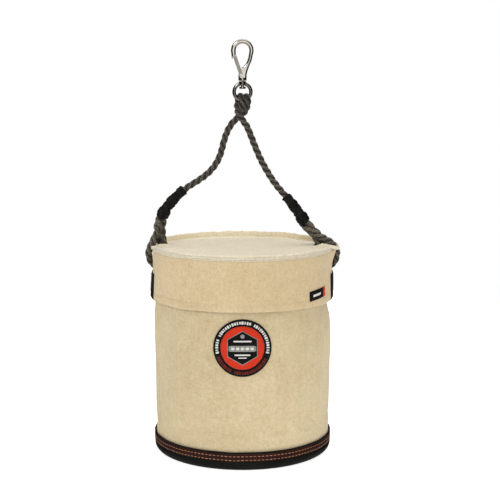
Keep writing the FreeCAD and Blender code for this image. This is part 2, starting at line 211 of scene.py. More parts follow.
def canvas_material(name, base, shade, dust):
    """Unbleached cotton duck: weave, slubs, dark seed specks, soft stains and creases, and painted shade between
    the woven threads.
    """
    m = Nodes(name)
    at = m.place()
    slubs = m.noise(m.place(1, 1, 0.12), 520, 2, 0.7)
    weft_slubs = m.noise(m.place(0.12, 0.12, 1), 520, 2, 0.7)
    colour = m.ramp(m.noise(at, 5.5, 4, 0.6), (0.32, shade), (0.66, base))
    colour = m.mix(m.mask(m.noise(at, 34, 5, 0.65), 0.35, 0.75, 0.4), colour, dust)
    tone = m.ramp(m.plus(m.mul(slubs, 0.5), m.mul(weft_slubs, 0.5)), (0.3, (0.55, 0.5, 0.42)), (0.7, (1, 1, 1)))
    colour = m.mix(0.3, colour, tone, "MULTIPLY")
    grain = m.ramp(m.noise(at, 210, 3, 0.75), (0.36, (0.74, 0.7, 0.64)), (0.62, (1, 1, 1)))
    colour = m.mix(0.55, colour, grain, "MULTIPLY")
    specks = m.add("TexVoronoi", {"Vector": at, "Scale": 150}).outputs["Distance"]
    rare = m.mask(m.noise(at, 61, 1), 0.56, 0.6, 0.75)
    seeds = m.mix(1, m.mask(specks, 0.09, 0.16, 0, 1), rare, "MULTIPLY")
    colour = m.mix(seeds, colour, (0.27, 0.17, 0.09))
    weave = woven(m)
    crease = m.bump(m.noise(m.place(1, 1, 0.45), 26, 5), 0.0016, 0.55)
    rough = m.bump(m.plus(slubs, weft_slubs), 0.00035, 0.5, crease)
    # painted shade: the colour is darkened where the weave is low, between the threads
    return m.finish(m.groove_shade(weave, 0.22, colour, (0.36, 0.27, 0.16)), 0.93,
                    Normal=m.bump(weave, 0.00028, 0.75, rough), Sheen_Weight=0.22, Sheen_Roughness=0.5,
                    Sheen_Tint=(1, 0.95, 0.85, 1), Specular_IOR_Level=0.18)


def leather_material(name, base, worn):
    """Oiled leather: pebble grain, fine pores, scuffs and an uneven shine, with painted shade along the creases of
    the grain.
    """
    m = Nodes(name)
    at = m.place()
    cells = m.add("TexVoronoi", {"Vector": at, "Scale": 620}, feature="DISTANCE_TO_EDGE")
    grain = m.mask(cells.outputs["Distance"], 0, 0.22)
    scuffs = m.noise(m.place(1, 1, 5), 70, 6, 0.7)
    colour = m.mix(m.mask(m.noise(at, 24, 4, 0.6), 0.35, 0.7, 0.6), base, worn)
    colour = m.mix(m.mask(scuffs, 0.6, 0.74, 0.5), colour, worn)
    pitted = m.bump(m.noise(at, 1900, 2), 0.00012, 0.35)
    # painted shade: the colour is darkened along the edges of the grain cells
    return m.finish(m.groove_shade(grain, 0.5, colour, (0.006, 0.005, 0.005)), m.plus(0.36, m.mul(scuffs, 0.34)),
                    Normal=m.bump(grain, 0.00022, 0.6, pitted), Specular_IOR_Level=0.12)


def rope_material():
    """Laid rope yarn: twisted fibres across each strand and pale stray fibres, with painted shade between the
    yarns and deep painted shade between the strands, so the strand tops read lighter.
    """
    m = Nodes("rope_yarn")
    at = m.place()
    uv, along, around = m.uv()
    turn = m.plus(m.mul(along, 520), m.mul(around, TAU * 2))
    yarns = m.wave(m.plus(turn, m.mul(m.noise(at, 420, 4, 0.7), 2.6)))
    fibre_at = m.add("Mapping", {"Vector": uv, "Scale": (900, 26, 1), "Rotation": (0, 0, 0.5)})
    fibres = m.noise(fibre_at, 1, 3, 0.7)
    colour = m.ramp(m.noise(at, 46, 4, 0.6), (0.3, (0.07, 0.058, 0.042)), (0.55, (0.132, 0.11, 0.083)),
                    (0.78, (0.22, 0.188, 0.145)))
    colour = m.mix(m.mask(fibres, 0.45, 0.8, 0.6), colour, (0.27, 0.235, 0.18))
    # painted shade between the twisted yarns
    colour = m.groove_shade(yarns, 0.7, colour, (0.014, 0.011, 0.008))
    # painted shade: near black where the surface lies close to the rope's axis, in the crevices between strands
    crown = m.add("Attribute", attribute_name="crown").outputs["Fac"]
    colour = m.mix(m.mask(crown, 0.66, 0.94, 0, 0.98), colour, (0.008, 0.0065, 0.005))
    normal = m.bump(yarns, 0.0007, 0.8, m.bump(fibres, 0.0004, 0.6))
    return m.finish(colour, 0.88, Normal=normal, Sheen_Weight=0.25, Sheen_Roughness=0.45, Specular_IOR_Level=0.2)


def noisy_material(name, tone, stops, roughness, grain=None, relief=None, creases=None, stretch=(), **inputs):
    """A surface whose colour follows one noise, tone, as does its roughness if that is (least, gain).

    grain is the noise of its fine relief, and relief and creases are the depths of grain and tone.
    """
    m = Nodes(name)
    tones = m.noise(m.place(), *tone)
    if isinstance(roughness, tuple):
        roughness = m.plus(roughness[0], m.mul(tones, roughness[1]))
    if grain:
        coarse = m.bump(tones, *creases) if creases else None
        inputs["Normal"] = m.bump(m.noise(m.place(*stretch), *grain), *relief, coarse)
    return m.finish(m.ramp(tones, *stops), roughness, **inputs)


def polished_material(name, dull, bright):
    """Polished metal with fine scratches and faint cloudiness."""
    return noisy_material(name, (70, 4, 0.6), ((0.3, dull), (0.7, bright)), (0.04, 0.09), (1500, 3, 0.7),
                          (0.00003, 0.35), stretch=(1, 1, 0.06), Metallic=1)


def twill_material(name, base, rib_shade_and_mottle, threads_per_m=900, sheen=0.2):
    """Densely stitched patch cloth with diagonal ribs, painted shade between the ribs and a random mottle in the
    same darker colour.
    """
    m = Nodes(name)
    at = m.place()
    _, u, v = m.uv()
    rib = m.wave(m.mul(m.plus(u, v), pi * threads_per_m))
    # painted shade: the darker colour between the ribs; the next line uses it again for a random mottle
    colour = m.groove_shade(rib, 0.6, base, rib_shade_and_mottle)
    colour = m.mix(m.mask(m.noise(at, 60, 3), 0.4, 0.75, 0.3), colour, rib_shade_and_mottle)
    soft = m.bump(m.noise(at, 1100, 3, 0.7), 0.0002, 0.5)
    return m.finish(colour, 0.72, Normal=m.bump(rib, 0.00025, 0.7, soft),
                    Sheen_Weight=sheen, Sheen_Roughness=0.4, Specular_IOR_Level=0.12)


def thread_material(name, colour, dark):
    """Twisted sewing thread."""
    return noisy_material(name, (90, 2), ((0.3, dark), (0.7, colour)), 0.6, (1400, 2), (0.0003, 0.6),
                          Sheen_Weight=0.15)


CANVAS = canvas_material("canvas", (0.62, 0.515, 0.325), (0.52, 0.42, 0.25), (0.68, 0.6, 0.42))
SKIRT_CANVAS = canvas_material("skirt_canvas", (0.655, 0.522, 0.318), (0.57, 0.442, 0.258), (0.705, 0.6, 0.41))
# painted light: a much paler, greyer copy of the canvas for the raised front of the lid's top, standing in for
# light and sheen on its upward face
LIT_LID_CANVAS = canvas_material("lid_canvas", (0.79, 0.715, 0.565), (0.7, 0.625, 0.48), (0.84, 0.79, 0.67))
# painted highlight: a paler copy of the canvas for the front edge seam and its pinched points, for the light along
# the ridge top
HIGHLIT_RIDGE_CANVAS = canvas_material("highlit_ridge_canvas", (0.8, 0.745, 0.6), (0.68, 0.62, 0.47), (0.86, 0.82, 0.71))
# painted light: the palest copy of the canvas, for the rear seam and the lid behind its crest, lightened to cancel
# the shade that falls there
LIT_REAR_CANVAS = canvas_material("lit_rear_canvas", (0.9, 0.82, 0.62), (0.82, 0.73, 0.52), (0.92, 0.86, 0.7))
LINING = canvas_material("canvas_inside", (0.6, 0.515, 0.36), (0.48, 0.39, 0.25), (0.66, 0.59, 0.45))
BLACK_LEATHER = leather_material("black_leather", (0.0045, 0.005, 0.0038), (0.011, 0.0115, 0.009))
BROWN_LEATHER = leather_material("brown_leather", (0.024, 0.006, 0.0022), (0.056, 0.014, 0.0055))
ROPE = rope_material()
# painted highlight: the pale last stop of the tone ramp sits on the crests of the tape's crumples, which the same
# noise raises in the bump
TAPE = noisy_material(
    "cloth_tape", (130, 6, 0.65),
    ((0.35, (0.003, 0.003, 0.003)), (0.64, (0.01, 0.01, 0.009)), (0.76, (0.11, 0.105, 0.092))),
    (0.32, 0.4), (1500, 2), (0.00012, 0.4), (0.0022, 0.9), Specular_IOR_Level=0.14)
NICKEL = polished_material("polished_nickel", (0.62, 0.56, 0.49), (0.8, 0.75, 0.68))
# painted shade: a darkened copy of the polished nickel, for the swivel eye and gate
SHADED_NICKEL = polished_material("shaded_nickel", (0.23, 0.21, 0.19), (0.42, 0.4, 0.37))
EYELET = noisy_material(
    "nickel_eyelet", (160, 5, 0.6), ((0.35, (0.36, 0.33, 0.29)), (0.7, (0.66, 0.63, 0.58))),
    (0.22, 0.3), (160, 5, 0.6), (0.0002, 0.3), Metallic=1)
PLASTIC = noisy_material(
    "stiff_plastic", (30, 6, 0.7), ((0.4, (0.035, 0.035, 0.034)), (0.75, (0.09, 0.087, 0.082))),
    (0.42, 0.25), (900, 3), (0.0002, 0.4))
FLOOR = noisy_material(
    "floor_paper", (2, 2), ((0.3, (0.86, 0.86, 0.86)), (0.7, (0.88, 0.88, 0.88))), 0.9,
    Emission_Color=(1, 1, 1, 1), Emission_Strength=0.72)
RED_CLOTH = twill_material("red_cloth", (0.58, 0.034, 0.01), (0.33, 0.015, 0.005))
BLACK_CLOTH = twill_material("black_cloth", (0.0075, 0.007, 0.0065), (0.002, 0.002, 0.002), sheen=0.01)
LOOP_CLOTH = twill_material("loop_cloth", (0.014, 0.014, 0.015), (0.004, 0.004, 0.004), 420, 0.02)
PALE_CLOTH = twill_material("pale_cloth", (0.66, 0.64, 0.6), (0.42, 0.4, 0.37))
GREY_CLOTH = twill_material("grey_cloth", (0.26, 0.26, 0.24), (0.15, 0.15, 0.14))
DIM_RED_CLOTH = twill_material("dim_red_cloth", (0.17, 0.014, 0.008), (0.09, 0.008, 0.004))
PALE_THREAD = thread_material("pale_thread", (0.74, 0.7, 0.62), (0.58, 0.53, 0.44))
SAND_THREAD = thread_material("sand_thread", (0.7, 0.62, 0.45), (0.42, 0.33, 0.2))
SALMON_THREAD = thread_material("salmon_thread", (0.56, 0.27, 0.16), (0.34, 0.13, 0.07))
BLACK_THREAD = thread_material("black_thread", (0.05, 0.05, 0.05), (0.015, 0.015, 0.015))


# ================= mesh helpers =================
def linked(name, data):
    obj = bpy.data.objects.new(name, data)
    bpy.context.scene.collection.objects.link(obj)
    return obj


def new_object(name, points, faces, material, uvs=None):
    mesh = bpy.data.meshes.new(name)
    mesh.from_pydata([tuple(p) for p in points], [], faces)
    if uvs is not None:
        corner_uvs = [c for face in faces for v in face for c in uvs[v]]
        mesh.uv_layers.new(name="UVMap").data.foreach_set("uv", corner_uvs)
    mesh.polygons.foreach_set("use_smooth", [True] * len(mesh.polygons))
    mesh.materials.append(material)
    mesh.validate()
    mesh.update()
    return linked(name, mesh)


def grid_faces(rows, columns, wrap_rows=False, wrap_columns=False):
    """Quads over a grid of points stored row by row."""
    faces = []
    for i in range(rows if wrap_rows else rows - 1):
        for j in range(columns if wrap_columns else columns - 1):
            i2, j2 = (i + 1) % rows, (j + 1) % columns
            faces.append((i * columns + j, i * columns + j2, i2 * columns + j2, i2 * columns + j))
    return faces


def rod_faces(rows, sides):
    """A closed rod over rings of points: its sides and two ends."""
    ends = [tuple(reversed(range(sides))), tuple(range((rows - 1) * sides, rows * sides))]
    return grid_faces(rows, sides, False, True) + ends


def close(obj, ring=0, weld=False):
    """Turns the faces outward. First it closes a tube's two ends, of ring points, and welds equal points."""
    mesh = bmesh.new()
    mesh.from_mesh(obj.data)
    if ring:
        mesh.verts.ensure_lookup_table()
        count = len(mesh.verts)
        mesh.faces.new([mesh.verts[i] for i in reversed(range(ring))])
        mesh.faces.new([mesh.verts[count - ring + i] for i in range(ring)])
    if ring or weld:
        bmesh.ops.remove_doubles(mesh, verts=mesh.verts, dist=1e-7)
    bmesh.ops.recalc_face_normals(mesh, faces=mesh.faces)
    mesh.to_mesh(obj.data)
    mesh.free()
    return obj


def attach(piece, body, slot=None, *nodes):
    """The piece rides on a body and stands for CAD nodes, which it hides; the slot is not used."""
    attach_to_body(piece, body)
    if nodes:
        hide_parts(*nodes)
    return piece


def on_cylinder(radius, angle, z):
    return Vector((radius * cos(angle), radius * sin(angle), z))


def in_mm(radius, z, *offsets):
    """Outline points given in millimetres out and up from a place."""
    return [(radius + out / 1000, z + up / 1000) for out, up in offsets]


def revolved(name, profile, material, start=0.0, sweep=TAU, steps=180, shape=None, twist=None, uv_r=WALL_R):
    """A closed outline of (radius, z) turned round Z.

    shape(angle, radius, z) gives the moved (radius, z), and twist(share, z) an angle to add.
    """
    full = abs(sweep - TAU) < 1e-6
    columns = steps if full else steps + 1
    points, uvs, along = [], [], 0.0
    before = profile[0]
    for radius, z in profile:
        along += hypot(radius - before[0], z - before[1])
        before = radius, z
        for j in range(columns):
            angle = start + sweep * j / steps + (twist(j / steps, z) if twist else 0.0)
            r, h = shape(angle, radius, z) if shape else (radius, z)
            points.append(on_cylinder(r, angle, h))
            uvs.append((angle * uv_r, along))
    rows = len(profile)
    faces = grid_faces(rows, columns, True, full)
    if not full:
        faces.append(tuple(i * columns for i in range(rows)))
        faces.append(tuple(i * columns + columns - 1 for i in reversed(range(rows))))
    return new_object(name, points, faces, material, uvs)


def layered(name, rows, columns, place, material, wrap=False, hole=False):
    """A thin closed piece of two layers. place(layer, v, u) gives a point and its UVs, for shares v and u.

    With wrap its rows are rings, and the first is its middle or the edge of its hole.
    """
    across = columns if wrap else columns + 1
    cells = [place(layer, i / rows, j / columns)
             for layer in (0, 1) for i in range(rows + 1) for j in range(across)]
    per = len(cells) // 2
    flat = grid_faces(rows + 1, across, False, wrap)
    faces = [tuple(reversed(f)) for f in flat] + [tuple(per + v for v in f) for f in flat]
    last = rows * across
    if wrap:
        edges = [range(last, last + across)] + ([range(across)] if hole else [])
    else:
        edges = [[*range(across), *range(2 * across - 1, per, across), *range(per - 2, last - 1, -1),
                  *range(last - across, 0, -across)]]
    for edge in edges:
        faces += [(a, b, per + b, per + a) for a, b in zip(edge, [*edge[1:], edge[0]])]
    points, uvs = zip(*cells)
    return close(new_object(name, points, faces, material, uvs), weld=wrap and not hole)


def frames_along(points):
    """Points with two steady cross directions and a tangent, turned as little as possible."""
    tangents = []
    for i in range(len(points)):
        tangents.append((points[min(i + 1, len(points) - 1)] - points[max(i - 1, 0)]).normalized())
    side = tangents[0].orthogonal().normalized()
    found = []
    for point, tangent in zip(points, tangents):
        side = (side - tangent * side.dot(tangent)).normalized()
        found.append((point, tangent, side, tangent.cross(side)))
    return found


def tube(name, points, radius_at, material, sides=10, uv_start=0.0, axis=None):
    """A closed tube; radius_at(share along, angle) is its radius. With an axis, it notes how far out it lies."""
    frames = frames_along(points)
    verts, uvs, length = [], [], uv_start
    count = len(frames)
    for i, (point, _, side, up) in enumerate(frames):
        if i:
            length += (point - frames[i - 1][0]).length
        for k in range(sides + 1):
            angle = TAU * k / sides
            verts.append(point + (side * cos(angle) + up * sin(angle)) * radius_at(i / (count - 1), angle))
            uvs.append((length, k / sides))
    obj = new_object(name, verts, grid_faces(count, sides + 1), material, uvs)
    if axis:
        crown = obj.data.attributes.new("crown", "FLOAT", "POINT")
        reach = [(v - axis[i // (sides + 1)]).length for i, v in enumerate(verts)]
        most = max(reach)
        crown.data.foreach_set("value", [d / most for d in reach])
    return close(obj, sides + 1)


def joined(name, objects):
    """One object from several, which keeps their materials."""
    for o in bpy.context.view_layer.objects:
        o.select_set(o in objects)
    bpy.context.view_layer.objects.active = objects[0]
    bpy.ops.object.join()
    objects[0].name = objects[0].data.name = name
    return objects[0]


def stitch_shape(length, radius, sides=6):
    """One stitch: a short thread that dives into the cloth at both ends."""
    half = [(0.5, 0.35, -0.9), (0.42, 0.8, 0.0), (0.2, 1.0, 0.55)]
    verts = []
    for along, fat, lift in [(-along, fat, lift) for along, fat, lift in half] + half[::-1]:
        for k in range(sides):
            angle = TAU * k / sides
            verts.append((along * length, cos(angle) * radius * fat, (sin(angle) * fat + lift) * radius))
    return verts, rod_faces(2 * len(half), sides)


def line_length(points):
    return sum((b - a).length for a, b in zip(points, points[1:]))


def stitches(name, place, pitch, thread_r, material, body, inward=False):
    """A row of stitches. place(share) gives a radius, an angle and a height."""
    length = line_length([on_cylinder(*place(i / 400)) for i in range(401)])
    count = max(2, round(length / pitch))
    verts, faces = [], []
    shape, shape_faces = stitch_shape(length / count * STITCH_FILL, thread_r)
    for i in range(count):
        share = (i + 0.5) / count
        radius, angle, z = place(share)
        point, out = on_cylinder(radius, angle, z), on_cylinder(-1 if inward else 1, angle, 0)
        behind, ahead = (on_cylinder(*place(max(0.0, min(1.0, share + step / count)))) for step in (-0.2, 0.2))
        along = (ahead - behind).normalized()
        out = (out - along * out.dot(along)).normalized()
        along = (along + out.cross(along) * RNG.uniform(-0.06, 0.06)).normalized()
        side = out.cross(along)
        base = len(verts)
        verts += [point + along * x + side * y + out * z for x, y, z in shape]
        faces += [tuple(base + v for v in face) for face in shape_faces]
    attach(new_object(name, verts, faces, material), body)


def seam_line(shape, radius, z, start=0.0, sweep=TAU, margin=0.0):
    """Places for a row of stitches: a radius and a height on a shape, between two angles."""
    def place(share):
        angle = start + sweep * (margin + (1 - 2 * margin) * share)
        r, h = shape(angle, radius, z)
        return r, angle, h
    return place


def paint(material, *nodes):
    """Gives carried-over CAD nodes their finished material."""
    for node in nodes:
        frame["nodes"][node].material_slots[0].material = material


def lumps(x, y, z):
    """Smooth noise, from -1 to 1."""
    return noise.noise(Vector((x, y, z)))


def ripple(angle, z, seed, across, along):
    """Smooth noise that closes on itself round the bucket."""
    return lumps(cos(angle) * across, sin(angle) * across, z * along + seed)


def smoothstep(x, low, high):
    t = min(1.0, max(0.0, (x - low) / (high - low)))
    return t * t * (3 - 2 * t)


def bell(x, middle, width):
    return exp(-((x - middle) / width) ** 2)


def aside(angle, zero):
    """The signed turn from a direction, from -pi to pi."""
    return (angle - zero + pi) % TAU - pi


# ================= camera, lights, floor =================
def make_camera():
    data = bpy.data.cameras.new("camera")
    data.sensor_width, data.lens, data.shift_x = 36.0, 87.5, 0.015
    camera = linked("camera", data)
    camera.location = CAMERA_PLACE
    camera.rotation_euler = (pi / 2 - CAMERA_PITCH, 0, 0)
    bpy.context.scene.camera = camera


def make_world():
    """A studio that is bright overhead and in front, dark behind, against a plain white backdrop."""
    m = Nodes("studio", "worlds")
    direction = m.add("TexCoord").outputs["Generated"]
    _, y, z = m.add("SeparateXYZ", {0: direction}).outputs
    rays = m.add("LightPath").outputs
    glossy = rays["Is Glossy Ray"]
    patchy = m.span(m.noise(direction, 1.9, 0.0), 0.44, 0.54, 0.55, 1.25)
    wide = m.math("SUBTRACT", m.span(y, -0.3, -0.72), glossy, True)
    narrow = m.mul(m.span(y, -0.945, -0.988), glossy)
    above = m.span(z, 0.62, 0.9)
    below = m.mul(m.span(z, -0.28, -0.4, 0.0, 0.5), glossy)
    seen = m.mul(patchy, m.plus(wide, narrow))
    for part in (above, below, 0.02, rays["Is Camera Ray"]):
        seen = m.math("MAXIMUM", seen, part)
    colour, strength = m.tree.nodes["Background"].inputs[:2]
    m.feed(strength, seen)
    colour.default_value = (1, 1, 1, 1)
    bpy.context.scene.world = m.owner


def make_stage():
    bpy.context.scene.view_settings.view_transform = "Standard"
    rim = [on_cylinder(FLOOR_R, TAU * k / FLOOR_SIDES, 0) for k in range(FLOOR_SIDES)]
    floor = new_object("studio_floor", rim, [tuple(range(FLOOR_SIDES))], FLOOR)
    floor.visible_glossy = False
    middle = Vector((0, 0, 0.3))
    for name, place, size, power in (
            ("key", (-1.8, -2.5, 2.6), (1.2, 1.2), 35), ("fill", (2.6, -1.9, 1.3), (1.6, 1.6), 13),
            ("front", (0.2, -3.4, 1.1), (1.2, 1.2), 5), ("left", (-2.6, -0.1, 1.1), (1.4, 1.8), 7),
            ("right", (2.6, 0.1, 1.1), (1.4, 1.8), 8), ("rear", (0.6, 2.6, 2.3), (2.2, 1.4), 22),
            ("top", (0, 0.3, 2.9), (1.6, 1.6), 26)):
        data = bpy.data.lights.new(name, "AREA")
        data.shape, data.energy = "RECTANGLE", power
        data.size, data.size_y = size
        light = linked(name, data)
        light.location = place
        light.rotation_euler = (middle - Vector(place)).to_track_quat("-Z", "Y").to_euler()
        light.visible_glossy = name == "key"
    make_world()


# ================= rope =================
LEFT_TAIL = [
    (-0.1435, 0.0035, 0.44), (-0.15, 0.005, 0.431), (-0.1545, 0.0052, 0.419),
    (-0.1525, 0.0056, 0.406), (-0.1472, 0.0038, 0.394),
]
LEFT_EYE = [
    (-0.1438, 0.001, 0.381), (-0.1412, 0, 0.362), (-0.142, 0, 0.3445), (-0.152, 0, 0.3372),
    (-0.1645, 0, 0.3395), (-0.1712, 0, 0.352), (-0.1712, 0, 0.367), (-0.1645, -0.0008, 0.38),
]
LEFT_SPLICE = [
    (-0.159, -0.0035, 0.3925), (-0.151, -0.0056, 0.4055), (-0.1442, -0.004, 0.419), (-0.1415, -0.001, 0.433),
]
LEFT_LEG = [
    (-0.1345, 0, 0.448), (-0.1226, 0, 0.4625), (-0.1038, 0, 0.4795), (-0.0816, 0, 0.4929), (-0.0624, 0, 0.5065),
    (-0.0468, 0, 0.5246), (-0.0383, 0.0005, 0.5454), (-0.034, 0.0015, 0.5643), (-0.0276, 0.0035, 0.5832),
    (-0.0184, 0.006, 0.5984), (-0.008, 0.0072, 0.6075), (0.0008, 0.006, 0.6135),
]
HITCH = [
    (0.006, 0, 0.6205), (0.0098, -0.0078, 0.629), (0.01, -0.01, 0.638), (0.0088, -0.0072, 0.6455),
    (0.0066, 0, 0.6462), (0.0045, 0.0072, 0.645), (0.0026, 0.01, 0.637), (0.0012, 0.0076, 0.6262),
    (0, 0, 0.6216), (-0.001, -0.0078, 0.6258), (-0.0014, -0.0102, 0.638), (-0.002, -0.0072, 0.6465),
    (-0.0036, 0, 0.6474), (-0.0062, 0.0072, 0.6455), (-0.0088, 0.01, 0.637), (-0.01, 0.0072, 0.629),
    (-0.009, 0.001, 0.6195),
]
RIGHT_LEG = [
    (-0.0064, -0.0058, 0.611), (0.0006, -0.0072, 0.6025), (0.0083, -0.005, 0.592), (0.0159, -0.003, 0.573),
    (0.0239, -0.0015, 0.5525), (0.0332, -0.0005, 0.531), (0.0458, 0, 0.5083), (0.0598, 0, 0.487),
    (0.0766, 0, 0.4675), (0.0906, 0, 0.4515), (0.1015, 0, 0.4375),
]
RIGHT_SPLICE = [
    (0.1105, -0.0015, 0.4265), (0.1195, -0.004, 0.4165), (0.127, -0.0056, 0.404), (0.1385, -0.004, 0.3945),
]
RIGHT_EYE = [
    (0.1515, -0.001, 0.3865), (0.164, 0, 0.3795), (0.1722, 0, 0.3675), (0.1724, 0, 0.3525), (0.1655, 0, 0.3395),
    (0.152, 0, 0.3372), (0.1418, 0, 0.3445), (0.139, 0, 0.36), (0.1392, 0.0005, 0.375),
]
RIGHT_TAIL = [
    (0.1352, 0.0035, 0.3885), (0.1245, 0.0056, 0.4005), (0.111, 0.0052, 0.411), (0.104, 0.0045, 0.4225),
    (0.101, 0.003, 0.433),
]
ROPE_ROUTE = (LEFT_TAIL + LEFT_EYE + LEFT_SPLICE + LEFT_LEG + HITCH + RIGHT_LEG + RIGHT_SPLICE + RIGHT_EYE
              + RIGHT_TAIL)


def smooth_line(route, step):
    """Points along the route's NURBS spline, a fixed distance apart."""
    data = bpy.data.curves.new("route", "CURVE")
    data.dimensions = "3D"
    spline = data.splines.new("NURBS")
    spline.points.add(len(route) - 1)
    for point, place in zip(spline.points, route):
        point.co = (*place, 1)
    spline.order_u = 3
    spline.use_endpoint_u = True
    spline.resolution_u = 12
    holder = linked("route", data)
    line = bpy.data.meshes.new_from_object(holder)
    points = [v.co.copy() for v in line.vertices]
    bpy.data.objects.remove(holder)
    bpy.data.curves.remove(data)
    bpy.data.meshes.remove(line)
    out, at = [points[0]], step
    for a, b in zip(points, points[1:]):
        length = (b - a).length
        while at <= length:
            out.append(a.lerp(b, at / length))
            at += step
        at -= length
    return out


def laid(name, line, step, lay, reach_at, radius_at, sides, uv_shift):
    """Three strands laid round a line. For a share of the line and a strand, reach_at gives how far out it lies;
    radius_at, which also takes the angle, gives its thickness."""
    frames = frames_along(line)
    strands = []
    for s in range(3):
        centres = []
        for i, (point, _, side, up) in enumerate(frames):
            angle = -TAU * (i * step / lay + s / 3)
            centres.append(point + (side * cos(angle) + up * sin(angle)) * reach_at(i / (len(frames) - 1), s))
        strands.append(tube(f"{name}_{s}", centres, lambda share, angle: radius_at(share, s, angle), ROPE, sides,
                            s * uv_shift, line))
    rope = joined(name, strands)
    return rope


def squeeze(point):
    """The rope is thinner under the tape and round the swivel eye, and fuller in its two spliced eyes."""
    eyes = 0.1 * (1 - smoothstep(point.z, 0.392, 0.415)) * (1 - smoothstep(0.35 - point.z, -0.012, 0.0))
    taped = 0.3 * smoothstep(point.z, 0.412, 0.422) * (1 - smoothstep(point.z, 0.452, 0.462))
    return 1.0 - taped - 0.08 * smoothstep(point.z, 0.616, 0.628) - 0.07 * smoothstep(point.z, 0.64, 0.646) + eyes


def make_rope():
    """Three laid strands on one line: tail, eye, splice, leg, turns round the eye and back."""
    line = smooth_line(ROPE_ROUTE, ROPE_STEP)
    last = len(line) - 1

    def radius_at(share, s, angle):
        lump = 0.04 * sin(share * 900 + s * 2.1) + 0.05 * lumps(share * 160, s * 7.0, 0)
        end = min(1.0, 0.35 + share * 90, 0.35 + (1 - share) * 90)
        return STRAND_R * squeeze(line[int(share * last)]) * (1 + lump) * end

    def reach_at(share, s):
        return HELIX_R * squeeze(line[round(share * last)])

    rope = laid("rope_handle", line, ROPE_STEP, ROPE_LAY, reach_at, radius_at, 12, 0.37)
    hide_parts("rope_eye_left", "rope_eye_right", "splice_left", "splice_right",
                "rope_leg_left", "rope_leg_right", "rope_hitch")
    return rope, line


def make_fuzz(frames):
    """Short stray fibres that stand off the rope."""
    verts, faces = [], []
    for _ in range(420):
        point, tangent, side, up = frames[RNG.randrange(4, len(frames) - 4)]
        angle = RNG.uniform(0, TAU)
        out = side * cos(angle) + up * sin(angle)
        sweep = tangent * RNG.uniform(-1, 1) + out.cross(tangent) * RNG.uniform(-0.6, 0.6)
        length = RNG.uniform(0.0012, 0.0034)
        across = out.cross(sweep).normalized()
        base = len(verts)
        for k, t in enumerate((0.0, 0.4, 0.7, 1.0)):
            place = point + out * 0.005 + (out * t + sweep * t * t) * length
            thin = 0.00016 * (1 - 0.22 * k)
            verts += [place + across * thin, place - across * thin + tangent * thin, place - tangent * thin * 1.5]
        faces += [tuple(base + v for v in face) for face in rod_faces(4, 3)]
    fuzz = new_object("rope_fibres", verts, faces, ROPE)
    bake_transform(fuzz)
    return fuzz


# the camera and the rope come first
make_camera()
make_stage()
rope, rope_line = make_rope()
rope_fibres = make_fuzz(frames_along(rope_line))


# ================= tape wraps and tucked splices =================
def make_tape(side, route):
    """Cloth tape wound tightly round the rope and the end of its tail."""
    line = smooth_line(route, 0.0015)
    total = line_length(line)

    def radius(share, angle):
        at = share * total
        turns = at / 0.0125 + angle / TAU
        lap = 0.0007 * (1 - (turns - floor(turns)))
        bulge = 0.0014 * sin(angle * 2 + share * 7.0) * (1 - share)
        strand = 0.0012 * sin(2 * (angle + TAU * at / 0.052)) * (1.1 - 0.6 * share)
        flare = 0.0024 * (1 - smoothstep(share, 0.0, 0.45))
        crumple = 0.0017 * lumps(share * 17, cos(angle) * 2, sin(angle) * 2)
        close_to_rope = 1.0 - 0.3 * (1 - smoothstep(min(share, 1 - share), 0.0, 0.006))
        return (0.0086 + lap + bulge + strand + flare + crumple) * close_to_rope

    return attach(tube(f"tape_{side}", line, radius, TAPE, 40), "handle", "tape", f"tape_wrap_{side}")


def make_tucks(side, route, thick_end):
    """The tail's strands tucked over and under the standing part: a thick twisted lump."""
    def fat(share):
        return (1 - (1 - thick_end) * share) * (0.6 + 0.4 * smoothstep(min(share, 1 - share), 0.0, 0.3))

    def reach_at(share, s):
        return 0.0063 * fat(share) * (1 + 0.1 * sin(share * 12 + s * 2.4))

    def radius_at(share, s, angle):
        lump = 0.1 * sin(share * 15 + s * 1.9) + 0.05 * lumps(share * 60, s * 5.0, angle)
        return 0.0051 * fat(share) * (1 + lump)

    step = 0.0014
    tucks = laid(f"splice_tucks_{side}", smooth_line(route, step), step, 0.046, reach_at, radius_at, 14, 0.3)
    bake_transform(tucks)
    return tucks


LEFT_TAPE_ROUTE = [
    (-0.1475, 0.001, 0.4245), (-0.1435, 0.0005, 0.436), (-0.135, 0, 0.4485), (-0.1222, 0, 0.4627),
    (-0.1105, 0, 0.4745), (-0.1045, 0, 0.479),
]
RIGHT_TAPE_ROUTE = [
    (0.115, 0.001, 0.4165), (0.108, 0.0005, 0.4265), (0.1005, 0, 0.438), (0.0906, 0, 0.4512),
    (0.0815, 0, 0.462), (0.0775, 0, 0.4668),
]
LEFT_TUCK_ROUTE = [
    (-0.1425, 0, 0.434), (-0.1468, 0, 0.4265), (-0.1492, 0, 0.415), (-0.1506, 0, 0.405), (-0.1508, 0, 0.395),
    (-0.1522, 0.001, 0.3855), (-0.154, 0.0015, 0.379),
]
RIGHT_TUCK_ROUTE = [
    (0.11, 0, 0.4225), (0.1155, 0, 0.4155), (0.1245, 0, 0.406), (0.1355, 0, 0.3955), (0.145, 0.001, 0.3865),
    (0.152, 0.0015, 0.38),
]
tapes = [make_tape("left", LEFT_TAPE_ROUTE), make_tape("right", RIGHT_TAPE_ROUTE)]
tucks = [make_tucks("left", LEFT_TUCK_ROUTE, 1.0), make_tucks("right", RIGHT_TUCK_ROUTE, 0.72)]


